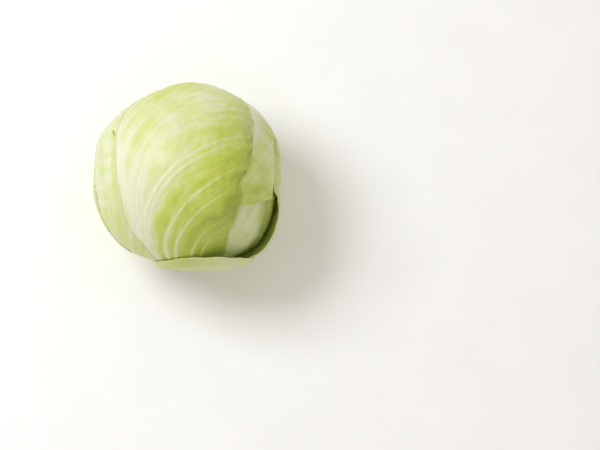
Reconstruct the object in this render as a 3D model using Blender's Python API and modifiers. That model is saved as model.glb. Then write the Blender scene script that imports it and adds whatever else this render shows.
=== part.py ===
"""Cabbage head, lying on its side on a small flat spot.

A cut stem runs into the head as its core. A heart bud sits on the core's end, ten inner leaves wrap
the bud, and seven outer leaves wrap those, each one lying over the leaves before it. The base of an
eighth leaf clasps the front of the head above the stem.

Places on the head are given as on a globe whose pole is the stem. "polar" is the angle from the stem,
and "turn" is the angle round the stem's axis: 0 on the upper side, positive towards +X. Every leaf is
an open sheet, spread from its own centre over the ball as a round map is, and Solidify gives it its
thickness. Lengths are in metres and angles in degrees.
"""

import math
from collections import namedtuple

import bmesh
import bpy
import numpy as np
from mathutils import Vector

# Driving dimensions of the whole head.
BALL_RADIUS = 0.0768        # the ball under the outer leaves
HEAD_HEIGHT = 0.0826        # from the flat spot up to the centre of the ball
CENTRE_X = 0.0008           # puts the middle of the whole head's box on the origin
CENTRE_Y = 0.0001
FLAT_ROUNDING = 0.0008      # softens the edge of the flat spot
STEM_DIP = 33.5             # how far the stem points below the horizontal
STEM_YAW = 8.3              # how far it points from -Y towards -X

# Driving dimensions of the leaves.
LEAF_GAP = 0.0012           # left between an outer leaf and the leaf under it
LEAF_THICKNESS = 0.0013
DRAPE = 20.0                # how far past a leaf's edge the next leaf comes down beside it

# The raised rim of the loosest leaf, which stands off the ball at the lower right.
RIM_POLAR = 68.0
RIM_TURN = 69.0
RIM_SPREAD = 27.0
RIM_LIFT = 0.0105

# Driving dimensions of the core and the heart.
HEART_RADIUS = 0.025
CORE_TIP = 0.0275           # the core's inner end, measured from the centre of the ball
CORE_END = 0.0865           # the cut end of the stem
CORE_RADIUS = 0.0150
CORE_BEVEL = 0.0012
TIP_SHARE = 0.38            # the core's radius at its tip, as a share of CORE_RADIUS
INNER_LEAVES = 10
INNER_THICKNESS = 0.0030
INNER_PITCH = 0.0048
GOLDEN_ANGLE = 137.5        # each leaf grows this far round the stem from the one before
INNER_CENTRE = 85.0         # polar angle of an inner leaf's centre
INNER_REACH = 71.0
INNER_WIDTH = 92.0
STEM_ROOM = 3.0             # degrees left between the core and an inner leaf

# The clasping base of the outermost leaf, as a strip above the stem: it runs from FRONT_BASE away from
# the stem to a margin that rises from its left end to its middle and falls again to its right end.
FRONT_BASE = 14.0
FRONT_ENDS = (-16.0, 56.0)  # the turns of its two ends
FRONT_MARGIN = 49.0
FRONT_RISE = 11.0
FRONT_FALL = 6.0
FRONT_LIFT = 0.0025         # how far its margin stands off the head
LIFT_TURN = 38.0
LIFT_SPREAD = 16.0

# The ball isn't quite round: (polar, turn, part of the radius that is added, width in degrees).
SWELLINGS = (
    (137, 117, 0.065, 25),
    (104, -94, 0.055, 17),
    (66, -76, 0.020, 16),
    (55, 72, 0.045, 26),
    (98, 95, -0.015, 14),
    (145, -150, 0.030, 32),
    (32, 5, 0.025, 20),
    (0, 0, -0.025, 12),
)

Leaf = namedtuple("Leaf", "name polar turn middle reach width neck curl thickness colour")

PALE_GREEN = (0.60, 0.68, 0.30)
LIME_GREEN = (0.52, 0.62, 0.20)
WHITE_GREEN = (0.66, 0.72, 0.46)

# The outer leaves, from the innermost to the outermost. "middle" and "reach" place the leaf along its
# midrib, measured from its centre, "width" is half its breadth, "neck" is the share of that breadth
# that it keeps beside the stem, and "curl" carries its lower corners round the stem.
OUTER_LEAVES = (
    Leaf("patch_leaf", 82, 36, 3, 71, 80, 1.0, 30, LEAF_THICKNESS, WHITE_GREEN),
    Leaf("back_leaf", 82, -165, 3, 71, 84, 1.0, 30, LEAF_THICKNESS, PALE_GREEN),
    Leaf("right_leaf", 92, 112, 2, 80, 84, 0.50, 0, LEAF_THICKNESS, PALE_GREEN),
    Leaf("main_leaf", 92, -44, 22, 100, 79, 1.0, 40, LEAF_THICKNESS, LIME_GREEN),
    Leaf("left_leaf", 85, -130, -11, 60, 88, 1.0, 60, LEAF_THICKNESS, PALE_GREEN),
    Leaf("torn_leaf", 60, -140, -4, 42, 60, 1.0, 30, LEAF_THICKNESS, LIME_GREEN),
    Leaf("loose_leaf", 75, 160, -1, 60, 85, 1.0, 60, LEAF_THICKNESS, LIME_GREEN),
)
OUTER_GRID = (18, 17)
INNER_GRID = (11, 11)
FRONT_GRID = (16, 22)
EDGE_ROOM = 2.0             # degrees past a leaf's edge before the next leaf starts to come down


def smooth_step(value, low, high):
    share = np.clip((value - low) / (high - low), 0.0, 1.0)
    return share * share * (3.0 - 2.0 * share)


def stem_frame():
    """The stem's axis, then the directions of turn 0 and turn 90, as the rows of a matrix."""
    dip, yaw = math.radians(STEM_DIP), math.radians(STEM_YAW)
    stem = Vector((-math.cos(dip) * math.sin(yaw), -math.cos(dip) * math.cos(yaw), -math.sin(dip)))
    upper = (Vector((0, 0, 1)) - stem.z * stem).normalized()
    return np.array((stem, upper, upper.cross(stem)))


STEM, UPPER, SIDE = stem_frame()
CENTRE = np.array((CENTRE_X, CENTRE_Y, HEAD_HEIGHT))


def direction(polar, turn):
    """The unit vector from the ball's centre to a place on the globe."""
    polar, turn = math.radians(polar), math.radians(turn)
    across = math.cos(turn) * UPPER + math.sin(turn) * SIDE
    return math.cos(polar) * STEM + math.sin(polar) * across


def angle_between(rays, axis):
    return np.degrees(np.arccos(np.clip(rays @ axis, -1.0, 1.0)))


def leaf_frame(leaf):
    """The leaf's centre, the way along its midrib to the tip, and the way across it."""
    middle = direction(leaf.polar, leaf.turn)
    along = direction(leaf.polar + 90, leaf.turn)
    return middle, along, np.cross(along, middle)


def half_breadth(leaf, a):
    return leaf.width * (leaf.neck + (1 - leaf.neck) * smooth_step(a, -0.55, 0.0))


def corner_curl(leaf, a, b):
    return leaf.curl * b * b * smooth_step(-a, 0.0, 1.0)


def rays_of_leaf(leaf, a, b):
    """Directions of the points of a leaf, whose outline is the circle a*a + b*b = 1."""
    along = leaf.middle + leaf.reach * a - corner_curl(leaf, a, b)
    across = half_breadth(leaf, a) * b
    spread = np.radians(np.hypot(along, across))
    bearing = np.arctan2(across, along)
    middle, tip_way, side_way = leaf_frame(leaf)
    ring = np.outer(np.cos(bearing), tip_way) + np.outer(np.sin(bearing), side_way)
    return np.cos(spread)[:, None] * middle + np.sin(spread)[:, None] * ring


def place_on_leaf(leaf, rays):
    """Where these directions fall on a leaf's own circle: the inverse of rays_of_leaf."""
    middle, tip_way, side_way = leaf_frame(leaf)
    spread = angle_between(rays, middle)
    bearing = np.arctan2(rays @ side_way, rays @ tip_way)
    along, across = spread * np.cos(bearing), spread * np.sin(bearing)
    a = np.clip((along - leaf.middle) / leaf.reach, -1.0, 1.0)
    for _ in range(8):
        b = across / half_breadth(leaf, a)
        whole = (along - leaf.middle + corner_curl(leaf, a, np.clip(b, -1.0, 1.0))) / leaf.reach
        a = 0.5 * (a + np.clip(whole, -1.0, 1.0))
    return whole, across / half_breadth(leaf, a)


def cover(leaf, rays):
    """1 where the leaf lies, falling to 0 a little past its edge."""
    past_edge = (np.hypot(*place_on_leaf(leaf, rays)) - 1.0) * min(leaf.reach, leaf.width)
    return 1.0 - smooth_step(past_edge, EDGE_ROOM, EDGE_ROOM + DRAPE)


def roundness(rays):
    """How far the ball swells or dips in these directions, as a factor on its radius."""
    factor = np.ones(len(rays))
    for polar, turn, share, width in SWELLINGS:
        factor += share * np.exp(-((angle_between(rays, direction(polar, turn)) / width) ** 2))
    return factor


def rim_lift(leaf, rays):
    """How far the loose leaf stands off the ball, towards its edge at the lower right."""
    if leaf.name != "loose_leaf":
        return np.zeros(len(rays))
    away = angle_between(rays, direction(RIM_POLAR, RIM_TURN)) / RIM_SPREAD
    edge = np.hypot(*place_on_leaf(leaf, rays))
    return RIM_LIFT * np.exp(-away**2) * smooth_step(edge, 0.50, 0.95)


def outer_radius(rays, leaves):
    """The distance from the centre to the outside of a stack of leaves."""
    radius = BALL_RADIUS * roundness(rays)
    for leaf in leaves:
        radius += (leaf.thickness + LEAF_GAP) * cover(leaf, rays) + rim_lift(leaf, rays)
    return radius


def settled(rays, radius):
    """Points at these distances, pushed in above the flat spot that the head rests on."""
    to_floor = np.where(rays[:, 2] < -0.5, HEAD_HEIGHT / np.maximum(-rays[:, 2], 0.5), 1.0)
    past_floor = outer_radius(rays, OUTER_LEAVES) - LEAF_GAP - to_floor
    rounded = np.maximum(past_floor + FLAT_ROUNDING, 0.0) ** 2 / (4 * FLAT_ROUNDING)
    pressed = np.where(past_floor > FLAT_ROUNDING, past_floor, rounded)
    return CENTRE + rays * (radius - pressed)[:, None]


def new_material(name, colour, roughness):
    material = bpy.data.materials.new(name)
    material.use_nodes = True
    shader = material.node_tree.nodes["Principled BSDF"]
    shader.inputs["Base Color"].default_value = (*colour, 1.0)
    shader.inputs["Roughness"].default_value = roughness
    shader.inputs["Metallic"].default_value = 0.0
    return material


def add_object(name, mesh, collection, material):
    mesh.materials.append(material)
    mesh.shade_smooth()
    mesh.set_sharp_from_angle(angle=math.radians(50))
    obj = bpy.data.objects.new(name, mesh)
    collection.objects.link(obj)
    return obj


def add_sheet(collection, name, grid, place_points, thickness, colour):
    """A square grid sheet whose points place_points lays over the ball, with its thickness."""
    sheet = bmesh.new()
    bmesh.ops.create_grid(sheet, x_segments=grid[0], y_segments=grid[1], size=1.0)
    square = np.array([vertex.co for vertex in sheet.verts])
    for vertex, place in zip(sheet.verts, place_points(square[:, 0], square[:, 1])):
        vertex.co = place
    mesh = bpy.data.meshes.new(name)
    sheet.to_mesh(mesh)
    sheet.free()
    mesh.flip_normals()
    obj = add_object(name, mesh, collection, new_material(name, colour, 0.45))
    wall = obj.modifiers.new("leaf_thickness", "SOLIDIFY")
    wall.thickness = thickness
    wall.offset = -1.0
    return obj


def add_leaf(collection, leaf, grid, radius_of):
    """A sheet rounded to the leaf's outline and laid over the ball."""
    def place_points(x, y):
        rays = rays_of_leaf(leaf, x * np.sqrt(1 - y**2 / 2), y * np.sqrt(1 - x**2 / 2))
        return settled(rays, radius_of(rays))

    return add_sheet(collection, leaf.name, grid, place_points, leaf.thickness, leaf.colour)


def add_outer_leaves(collection):
    for count, leaf in enumerate(OUTER_LEAVES):
        stack = OUTER_LEAVES[: count + 1]
        add_leaf(collection, leaf, OUTER_GRID, lambda rays: outer_radius(rays, stack) - LEAF_GAP)


def front_points(x, y):
    """The clasping base: x runs away from the stem and y from the left end to the right end."""
    left, right = FRONT_ENDS
    turn = (left + right) / 2 + (right - left) / 2 * y
    margin = FRONT_MARGIN + FRONT_RISE * smooth_step(turn, left, LIFT_TURN)
    margin -= FRONT_FALL * smooth_step(turn, LIFT_TURN, right)
    margin -= (margin - FRONT_BASE) / 3 * y**8
    polar = FRONT_BASE + (margin - FRONT_BASE) * (x + 1) / 2
    rays = np.array([direction(*place) for place in zip(polar, turn)])
    lift = FRONT_LIFT * smooth_step(x, 0.0, 1.0) * np.exp(-(((turn - LIFT_TURN) / LIFT_SPREAD) ** 2))
    return settled(rays, outer_radius(rays, OUTER_LEAVES) + LEAF_THICKNESS + lift)


def add_front_leaf(collection):
    add_sheet(collection, "front_leaf", FRONT_GRID, front_points, LEAF_THICKNESS, PALE_GREEN)


def add_inner_leaves(collection):
    """Ten leaves round the heart, each on the next shell out and a golden angle further round."""
    outermost = BALL_RADIUS - 2 * LEAF_GAP
    for count in range(INNER_LEAVES):
        shell = outermost - INNER_PITCH * (INNER_LEAVES - 1 - count)
        name = f"inner_leaf_{count + 1:02d}"
        base = STEM_ROOM + math.degrees(math.asin(core_radius(shell) / (shell - INNER_THICKNESS)))
        leaf = Leaf(name, INNER_CENTRE, 90 + GOLDEN_ANGLE * count, base + INNER_REACH - INNER_CENTRE,
                    INNER_REACH, INNER_WIDTH, 1.0, 0, INNER_THICKNESS, WHITE_GREEN)
        add_leaf(collection, leaf, INNER_GRID, lambda rays: shell * roundness(rays))


def core_radius(distance):
    """The core's radius at a distance from the ball's centre: wide at the cut, blunt at the tip."""
    share = min(max((distance - CORE_TIP) / (CORE_END - CORE_TIP), 0.0), 1.0)
    return CORE_RADIUS * (TIP_SHARE + (1 - TIP_SHARE) * math.sin(share * math.pi / 2))


def add_core(collection):
    """The stem and core: a turned profile, from the cut end in to the tip."""
    side_top, side_bottom = CORE_END - CORE_BEVEL, CORE_TIP + 0.003
    steps = [side_top - (side_top - side_bottom) * i / 9 for i in range(10)]
    profile = [(0.0, CORE_END), (core_radius(CORE_END) - CORE_BEVEL, CORE_END)]
    profile += [(core_radius(step), step) for step in steps]
    profile += [(0.6 * core_radius(CORE_TIP), CORE_TIP + 0.0006), (0.0, CORE_TIP)]
    mesh = bpy.data.meshes.new("stem_core")
    edges = [(i, i + 1) for i in range(len(profile) - 1)]
    mesh.from_pydata([(radius, 0.0, height) for radius, height in profile], edges, [])
    obj = add_object("stem_core", mesh, collection, new_material("stem_core", (0.72, 0.74, 0.52), 0.6))
    turned = obj.modifiers.new("turned", "SCREW")
    turned.steps = 28
    turned.render_steps = 28
    turned.use_merge_vertices = True
    turned.merge_threshold = 0.00001
    turned.use_smooth_shade = True
    obj.rotation_mode = "QUATERNION"
    obj.rotation_quaternion = Vector((0, 0, 1)).rotation_difference(Vector(STEM))
    obj.location = CENTRE
    return obj


def add_heart(collection):
    """The bud of tightly folded young leaves, a little longer than it is wide."""
    bud = bmesh.new()
    bmesh.ops.create_uvsphere(bud, u_segments=20, v_segments=12, radius=HEART_RADIUS)
    for vertex in bud.verts:
        fold = math.cos(3 * math.atan2(vertex.co.y, vertex.co.x) + 60 * vertex.co.z)
        vertex.co.xy *= 1.0 + 0.03 * fold
    mesh = bpy.data.meshes.new("heart_bud")
    bud.to_mesh(mesh)
    bud.free()
    obj = add_object("heart_bud", mesh, collection, new_material("heart_bud", (0.80, 0.78, 0.48), 0.5))
    obj.rotation_mode = "QUATERNION"
    obj.rotation_quaternion = Vector((0, 0, 1)).rotation_difference(Vector(STEM))
    obj.location = CENTRE
    return obj


def main():
    for obj in list(bpy.data.objects):
        bpy.data.objects.remove(obj, do_unlink=True)
    collection = bpy.data.collections.new("cabbage_head")
    bpy.context.scene.collection.children.link(collection)
    add_core(collection)
    add_heart(collection)
    add_inner_leaves(collection)
    add_outer_leaves(collection)
    add_front_leaf(collection)


main()
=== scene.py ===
# %% [markdown]
# # A cabbage head
#
# A white cabbage is one plant part made of many: a cut stem that runs in as the core, a bud at its end,
# and leaves wrapped round the bud, one over another. This lesson builds the leaves as thin sheets with
# real ribs and margins, lays them over each other in the order they grew, and paints each with pigment
# that follows its own veins.

# %% Frame
import math
from collections import namedtuple

import bpy
import numpy as np
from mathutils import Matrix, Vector


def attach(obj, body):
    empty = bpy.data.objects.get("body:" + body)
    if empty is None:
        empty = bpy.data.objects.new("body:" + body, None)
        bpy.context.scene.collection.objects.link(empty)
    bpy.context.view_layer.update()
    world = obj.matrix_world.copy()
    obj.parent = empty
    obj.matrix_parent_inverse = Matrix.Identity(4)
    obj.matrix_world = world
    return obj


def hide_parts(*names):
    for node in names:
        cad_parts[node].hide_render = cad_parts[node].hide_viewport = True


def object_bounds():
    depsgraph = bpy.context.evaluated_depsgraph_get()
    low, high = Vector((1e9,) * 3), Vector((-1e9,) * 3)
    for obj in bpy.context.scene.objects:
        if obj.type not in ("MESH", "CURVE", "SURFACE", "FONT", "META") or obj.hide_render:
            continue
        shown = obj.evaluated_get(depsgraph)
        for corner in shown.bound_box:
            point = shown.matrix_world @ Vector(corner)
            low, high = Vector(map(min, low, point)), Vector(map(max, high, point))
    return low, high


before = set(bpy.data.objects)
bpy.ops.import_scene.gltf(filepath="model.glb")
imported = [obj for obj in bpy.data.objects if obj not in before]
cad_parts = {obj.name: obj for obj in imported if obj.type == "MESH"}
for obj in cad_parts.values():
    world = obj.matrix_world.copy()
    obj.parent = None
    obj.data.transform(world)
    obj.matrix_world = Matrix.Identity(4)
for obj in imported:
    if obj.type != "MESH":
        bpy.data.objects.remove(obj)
cad_low, cad_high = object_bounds()
print("solid model from", list(cad_low), "to", list(cad_high))

# %% [markdown]
# ## Places on the head
#
# A cabbage head is nearly a ball, and everything on it grows from the stem. So places are given as on a
# globe whose pole is the stem: "polar" is the angle away from the stem, and "turn" is the angle round it,
# 0 on the upper side and positive towards +X. A list of x, y, z points would say the same, but a leaf that
# runs from the stem to the crown is much easier to describe in angles.

# %% The stem's axis and the globe round it
BALL_RADIUS = 0.0768        # the ball under the outer leaves, in metres
HEAD_HEIGHT = 0.0826        # from the rest face up to the centre of the ball
CENTRE_X, CENTRE_Y = 0.0008, 0.0001
STEM_DIP = 33.5             # how far the stem points below the horizontal
STEM_YAW = 8.3              # how far it points from -Y towards -X


def stem_frame():
    """The stem's axis, then the directions of turn 0 and turn 90, as the rows of a matrix."""
    dip, yaw = math.radians(STEM_DIP), math.radians(STEM_YAW)
    stem = Vector((-math.cos(dip) * math.sin(yaw), -math.cos(dip) * math.cos(yaw), -math.sin(dip)))
    upper = (Vector((0, 0, 1)) - stem.z * stem).normalized()
    return np.array((stem, upper, upper.cross(stem)))


STEM, UPPER, SIDE = stem_frame()
CENTRE = np.array((CENTRE_X, CENTRE_Y, cad_low.z + HEAD_HEIGHT))
MM = 0.001
MM_PER_DEGREE = 1000 * BALL_RADIUS * math.radians(1)


def direction(polar, turn):
    """The unit vector from the ball's centre to a place on the globe."""
    polar, turn = math.radians(polar), math.radians(turn)
    across = math.cos(turn) * UPPER + math.sin(turn) * SIDE
    return math.cos(polar) * STEM + math.sin(polar) * across


def angle_between(rays, axis):
    return np.degrees(np.arccos(np.clip(rays @ axis, -1.0, 1.0)))


def smooth_step(value, low, high):
    share = np.clip((value - low) / (high - low), 0.0, 1.0)
    return share * share * (3.0 - 2.0 * share)


RIPPLE_WAYS = 14            # how many plain waves cross to make ripples that don't repeat


def ripples(rays, waves, seed):
    """Seeded smooth ripples over the ball, mostly from -1 to 1. "waves" is the radians in one radius."""
    random = np.random.default_rng(seed)
    ways = random.normal(size=(RIPPLE_WAYS, 3))
    ways *= waves / np.linalg.norm(ways, axis=1)[:, None]
    phases = random.uniform(0, 2 * math.pi, RIPPLE_WAYS)
    return np.sin(rays @ ways.T + phases).sum(1) / math.sqrt(RIPPLE_WAYS)


print("centre of the ball", CENTRE.round(4), "and", round(MM_PER_DEGREE, 2), "mm to a degree")

# %% [markdown]
# ## The leaves
#
# Each leaf is a round sheet that was pulled into the shape of a leaf and laid over the ball like a round
# map. "along" runs from the stem to the tip and "across" runs sideways, both in degrees from the leaf's
# own centre. The outline is the circle a*a + b*b = 1, stretched by reach and width, narrowed to a neck
# beside the stem, and curled back at its lower corners. One rule for all leaves keeps them related.

# %% Leaf outlines
LEAF_GAP = 0.0012           # between a leaf and the one under it, away from the margins
LEAF_THICKNESS = 0.0013     # the room that each leaf takes in the stack
DRAPE = 20.0                # how far past a leaf's edge the next leaf comes down beside it

STIFF_EDGE = 2.0            # how far past the edge it stays at full height, also in degrees

SHOULDER = (-0.55, 0.0)     # where along a leaf its neck widens to the full breadth
Leaf = namedtuple("Leaf", "name polar turn middle reach width neck curl shoulder", defaults=(SHOULDER,))
OUTER_LEAVES = (
    Leaf("patch_leaf", 82, 36, 3, 71, 80, 1.0, 30),
    Leaf("back_leaf", 82, -165, 3, 71, 84, 1.0, 30),
    Leaf("right_leaf", 92, 112, 2, 80, 84, 0.50, 0),
    Leaf("main_leaf", 92, -44, 22, 100, 79, 1.0, 40),
    Leaf("left_leaf", 85, -130, -11, 60, 88, 1.0, 60),
    Leaf("torn_leaf", 60, -140, -4, 42, 60, 1.0, 30),
    Leaf("loose_leaf", 75, 160, -1, 60, 85, 1.0, 60),
)
# Two leaves show a little differently from the plain ones that the stack is reckoned with: the leaf on top
# is broader, and the leaf at the right was broken off across its lower corner.
SHOWN = {"main_leaf": {"width": 85}, "right_leaf": {"shoulder": (-0.16, 0.12)}}
SHOWN_LEAVES = [leaf._replace(**SHOWN.get(leaf.name, {})) for leaf in OUTER_LEAVES]
# How ragged each margin is, in parts of the leaf's size: small scallops first, then larger bites.
RAGGED = {"patch_leaf": (0.001, 0.003), "back_leaf": (0.001, 0.003), "right_leaf": (0.003, 0.008),
          "main_leaf": (0.0015, 0.003), "left_leaf": (0.001, 0.002), "torn_leaf": (0.003, 0.02),
          "loose_leaf": (0.002, 0.004)}
# One deeper notch: its bearing on the leaf's circle and its breadth in degrees, and its depth as a share.
NOTCH = {"main_leaf": (86, 5, 0.065)}
# How far the margin waves up from what it lies on, in mm. The other margins lie flat.
FRILL = {"right_leaf": 0.18, "torn_leaf": 0.18, "main_leaf": 0.08}


def leaf_frame(leaf):
    """The leaf's centre, the way along its midrib to the tip, and the way across it."""
    middle = direction(leaf.polar, leaf.turn)
    along = direction(leaf.polar + 90, leaf.turn)
    return middle, along, np.cross(along, middle)


def half_breadth(leaf, a):
    return leaf.width * (leaf.neck + (1 - leaf.neck) * smooth_step(a, *leaf.shoulder))


def corner_curl(leaf, a, b):
    return leaf.curl * b * b * smooth_step(-a, 0.0, 1.0)


def plane_of_leaf(leaf, a, b):
    """The degrees along and across at these points of the leaf's circle."""
    return leaf.middle + leaf.reach * a - corner_curl(leaf, a, b), half_breadth(leaf, a) * b


def rays_of_plane(leaf, along, across):
    """The directions from the ball's centre to places on the leaf's map."""
    spread, bearing = np.radians(np.hypot(along, across)), np.arctan2(across, along)
    middle, tip_way, side_way = leaf_frame(leaf)
    ring = np.outer(np.cos(bearing), tip_way) + np.outer(np.sin(bearing), side_way)
    return np.cos(spread)[:, None] * middle + np.sin(spread)[:, None] * ring


def plane_of_rays(leaf, rays):
    """The degrees along and across of these directions on the leaf's map."""
    middle, tip_way, side_way = leaf_frame(leaf)
    spread = angle_between(rays, middle)
    bearing = np.arctan2(rays @ side_way, rays @ tip_way)
    return spread * np.cos(bearing), spread * np.sin(bearing)


def place_on_leaf(leaf, rays):
    """Where these directions fall on a leaf's own circle."""
    along, across = plane_of_rays(leaf, rays)
    a = np.clip((along - leaf.middle) / leaf.reach, -1.0, 1.0)
    for _ in range(8):
        b = across / half_breadth(leaf, a)
        whole = (along - leaf.middle + corner_curl(leaf, a, np.clip(b, -1.0, 1.0))) / leaf.reach
        a = 0.5 * (a + np.clip(whole, -1.0, 1.0))
    return whole, across / half_breadth(leaf, a)


print(len(OUTER_LEAVES), "outer leaves, the innermost first")

# %% [markdown]
# ## How leaves lie on each other
#
# A real head is stacked: where a leaf ends, the leaf above comes down beside it, and the whole head swells
# where more leaves overlap. So the distance of a leaf from the centre is a sum over the leaves under it.
# Cloth simulation could settle the leaves too, but leaves are stiff and grew in place, and a sum never
# lets one leaf cut through another.

# %% The stack of leaves
# Where the ball swells or dips: polar, turn, the share of its radius, and how far that spreads in degrees.
SWELLINGS = ((137, 117, 0.065, 25), (104, -94, 0.055, 17), (66, -76, 0.020, 16), (55, 72, 0.045, 26),
             (98, 95, -0.015, 14), (145, -150, 0.030, 32), (32, 5, 0.025, 20), (0, 0, -0.025, 12),
             (56, 64, 0.035, 22))
RIM_POLAR, RIM_TURN, RIM_SPREAD = 68.0, 69.0, 27.0   # where the loosest leaf stands off the ball
RIM_FROM = 0.78             # how far out on that leaf, from 0 to 1, it begins to stand off
RIM_LIFT = 0.0080
RIM_ENDS = (84.0, 100.0)    # the polar angles between which the raised rim comes down to the ball
FLAT_ROUNDING = 0.0008      # softens the edge of the rest face


def cover(leaf, rays):
    """1 where the leaf lies, falling to 0 a little past its edge."""
    past_edge = (np.hypot(*place_on_leaf(leaf, rays)) - 1.0) * min(leaf.reach, leaf.width)
    return 1.0 - smooth_step(past_edge, STIFF_EDGE, STIFF_EDGE + DRAPE)


def roundness(rays):
    """How far the ball swells or dips in these directions, as a factor on its radius."""
    factor = np.ones(len(rays))
    for polar, turn, share, width in SWELLINGS:
        factor += share * np.exp(-((angle_between(rays, direction(polar, turn)) / width) ** 2))
    return factor


def rim_lift(leaf, rays):
    """How far the loose leaf stands off the ball, towards its edge at the lower right."""
    if leaf.name != "loose_leaf":
        return np.zeros(len(rays))
    away = angle_between(rays, direction(RIM_POLAR, RIM_TURN)) / RIM_SPREAD
    edge = np.hypot(*place_on_leaf(leaf, rays))
    ends = 1 - smooth_step(angle_between(rays, STEM), *RIM_ENDS)
    return RIM_LIFT * np.exp(-away**2) * smooth_step(edge, RIM_FROM, 1.0) * ends


def outer_radius(rays, leaves):
    """The distance from the centre to the outside of a stack of leaves."""
    radius = BALL_RADIUS * roundness(rays)
    for leaf in leaves:
        radius += (LEAF_THICKNESS + LEAF_GAP) * cover(leaf, rays) + rim_lift(leaf, rays)
    return radius


def settled(rays, radius):
    """Points at these distances, pushed in above the flat face that the head rests on."""
    to_floor = np.where(rays[:, 2] < -0.5, HEAD_HEIGHT / np.maximum(-rays[:, 2], 0.5), 1.0)
    past_floor = outer_radius(rays, OUTER_LEAVES) - LEAF_GAP - to_floor
    rounded = np.maximum(past_floor + FLAT_ROUNDING, 0.0) ** 2 / (4 * FLAT_ROUNDING)
    pressed = np.where(past_floor > FLAT_ROUNDING, past_floor, rounded)
    places = CENTRE + rays * (radius - pressed)[:, None]
    places[:, 2] = np.maximum(places[:, 2], cad_low.z)
    return places


print("each leaf adds", round((LEAF_THICKNESS + LEAF_GAP) / MM, 1), "mm to the ball's radius")

# %% [markdown]
# ## Veins
#
# A cabbage leaf has a thick pale midrib and side veins that start almost beside it, bend away towards the
# margin and fork as they go. On the leaf's map such a vein is close to an arc that keeps turning the same
# way, so five numbers say it: where it starts, its heading, how fast it turns, its length and its width.
# Twigs are grown from each vein by a small seeded rule, as nobody draws them by hand.

# %% Veins as turning arcs
Vein = namedtuple("Vein", "along across heading turning length width")
MIDRIB_WIDTH = 10.0         # the full width of a midrib near the stem, in mm
VEIN_STEP = 1.5             # degrees between the points of a vein
SHORTEST_VEIN = 6.0         # degrees; a shorter twig is left to the material's fine net

# The side veins of the leaf on top, from the midrib's left to the right margin. "heading" is from the way
# to the tip towards the right, and "turning" is in degrees of heading for each degree of length.
MAIN_VEINS = (
    Vein(-70, 20, 10, -0.60, 140, MIDRIB_WIDTH),
    Vein(2, 0, -50, 0.35, 110, 3.6),
    Vein(-5, 6, -40, 0.70, 110, 4.2),
    Vein(-20, 17, -22, 0.35, 130, 4.0),
    Vein(-14, 18, -14, 0.42, 130, 3.4),
    Vein(-40, 24, -10, 0.50, 135, 4.8),
    Vein(-36, 25, -5, 0.50, 112, 5.0),
    Vein(-52, 31, 5, 0.38, 118, 4.6),
    Vein(-55, 36, 8, 0.42, 96, 4.2),
    Vein(-50, 48, 10, 0.75, 60, 3.0),
    Vein(-50, 54, 12, 0.90, 52, 2.6),
)
# Two veins of the leaf at the right that curve back towards the stem.
RIGHT_VEINS = (
    Vein(22, 0, -60, -0.9, 75, 3.4),
    Vein(14, -6, -55, -1.1, 62, 2.8),
)


def vein_points(vein):
    """The points of a vein on the leaf's map, its heading at each, and its share of the length."""
    steps = np.arange(0, vein.length, VEIN_STEP)
    heading = np.radians(vein.heading + vein.turning * steps)
    along = vein.along + np.concatenate(([0], np.cumsum(np.cos(heading[:-1]) * VEIN_STEP)))
    across = vein.across + np.concatenate(([0], np.cumsum(np.sin(heading[:-1]) * VEIN_STEP)))
    return along, across, np.degrees(heading), steps / vein.length


def twigs_of(vein, random, first, share):
    """Forks that leave a vein on alternate sides and keep about its own turning."""
    along, across, heading, part = vein_points(vein)
    side = random.choice((-1, 1))
    for start in np.arange(first, 0.90, share):
        at = int((start + random.uniform(-0.04, 0.04)) * (len(part) - 1))
        length = vein.length * (1 - part[at]) * random.uniform(0.5, 0.85)
        fork = Vein(along[at], across[at], heading[at] + side * random.uniform(9, 16),
                    vein.turning + side * random.uniform(-0.15, 0.15), length,
                    vein.width * (1 - 0.75 * part[at]) * 0.6)
        side = -side
        if length > SHORTEST_VEIN:
            yield fork


def pinnate_veins(leaf):
    """A midrib with side veins that start close beside it and bend away to both margins."""
    base = leaf.middle - leaf.reach
    yield Vein(base, 0, 0, 0, 2 * leaf.reach, MIDRIB_WIDTH)
    for count in range(7):
        for side in (-1, 1):
            start = base + leaf.reach * (0.10 + 0.22 * count + 0.05 * side)
            yield Vein(start, side * (5.0 - 0.5 * count), side * (26 - 2 * count), side * 0.38,
                       leaf.width * (1.25 - 0.07 * count), 4.0 - 0.3 * count)


def whole_venation(leaf):
    """All the veins of a leaf with their level: 0 for ribs and side veins, then forks, then twigs."""
    random = np.random.default_rng(len(leaf.name) * 101 + int(abs(leaf.turn)))
    veins = [(0, vein) for vein in (MAIN_VEINS if leaf.name == "main_leaf" else pinnate_veins(leaf))]
    if leaf.name == "right_leaf":
        veins += [(0, vein) for vein in RIGHT_VEINS]
    forks = [fork for _, vein in veins[1:] for fork in twigs_of(vein, random, 0.30, 0.18)]
    twigs = [twig for fork in forks for twig in twigs_of(fork, random, 0.30, 0.30)]
    return veins + [(1, fork) for fork in forks] + [(2, twig) for twig in twigs]


print(len(whole_venation(OUTER_LEAVES[3])), "veins on the leaf on top")

# %% [markdown]
# The relief and the pigment both need to know, at each point of the leaf, how strongly a vein shows there
# and how far the nearest one is. A texture could be painted, but measuring the distance to each arc keeps
# the ridge in the mesh and the pale line in the material exactly together.

# %% Distance to the veins
RIDGE = (0.75, 0.42, 0.22)      # height of a vein of each level, in mm
PALENESS = (1.0, 0.62, 0.26)    # how pale it is against the blade
VEIN_FELT = 8.0                 # how many degrees from a vein anything is measured
NO_VEIN = 30.0                  # stands for "far from any vein", in degrees
NARROWEST_HALF = 0.45           # half the width of the finest vein that the mesh can show, in degrees
TAPER = 0.72                    # how much of its width and height a vein loses towards its end


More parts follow.
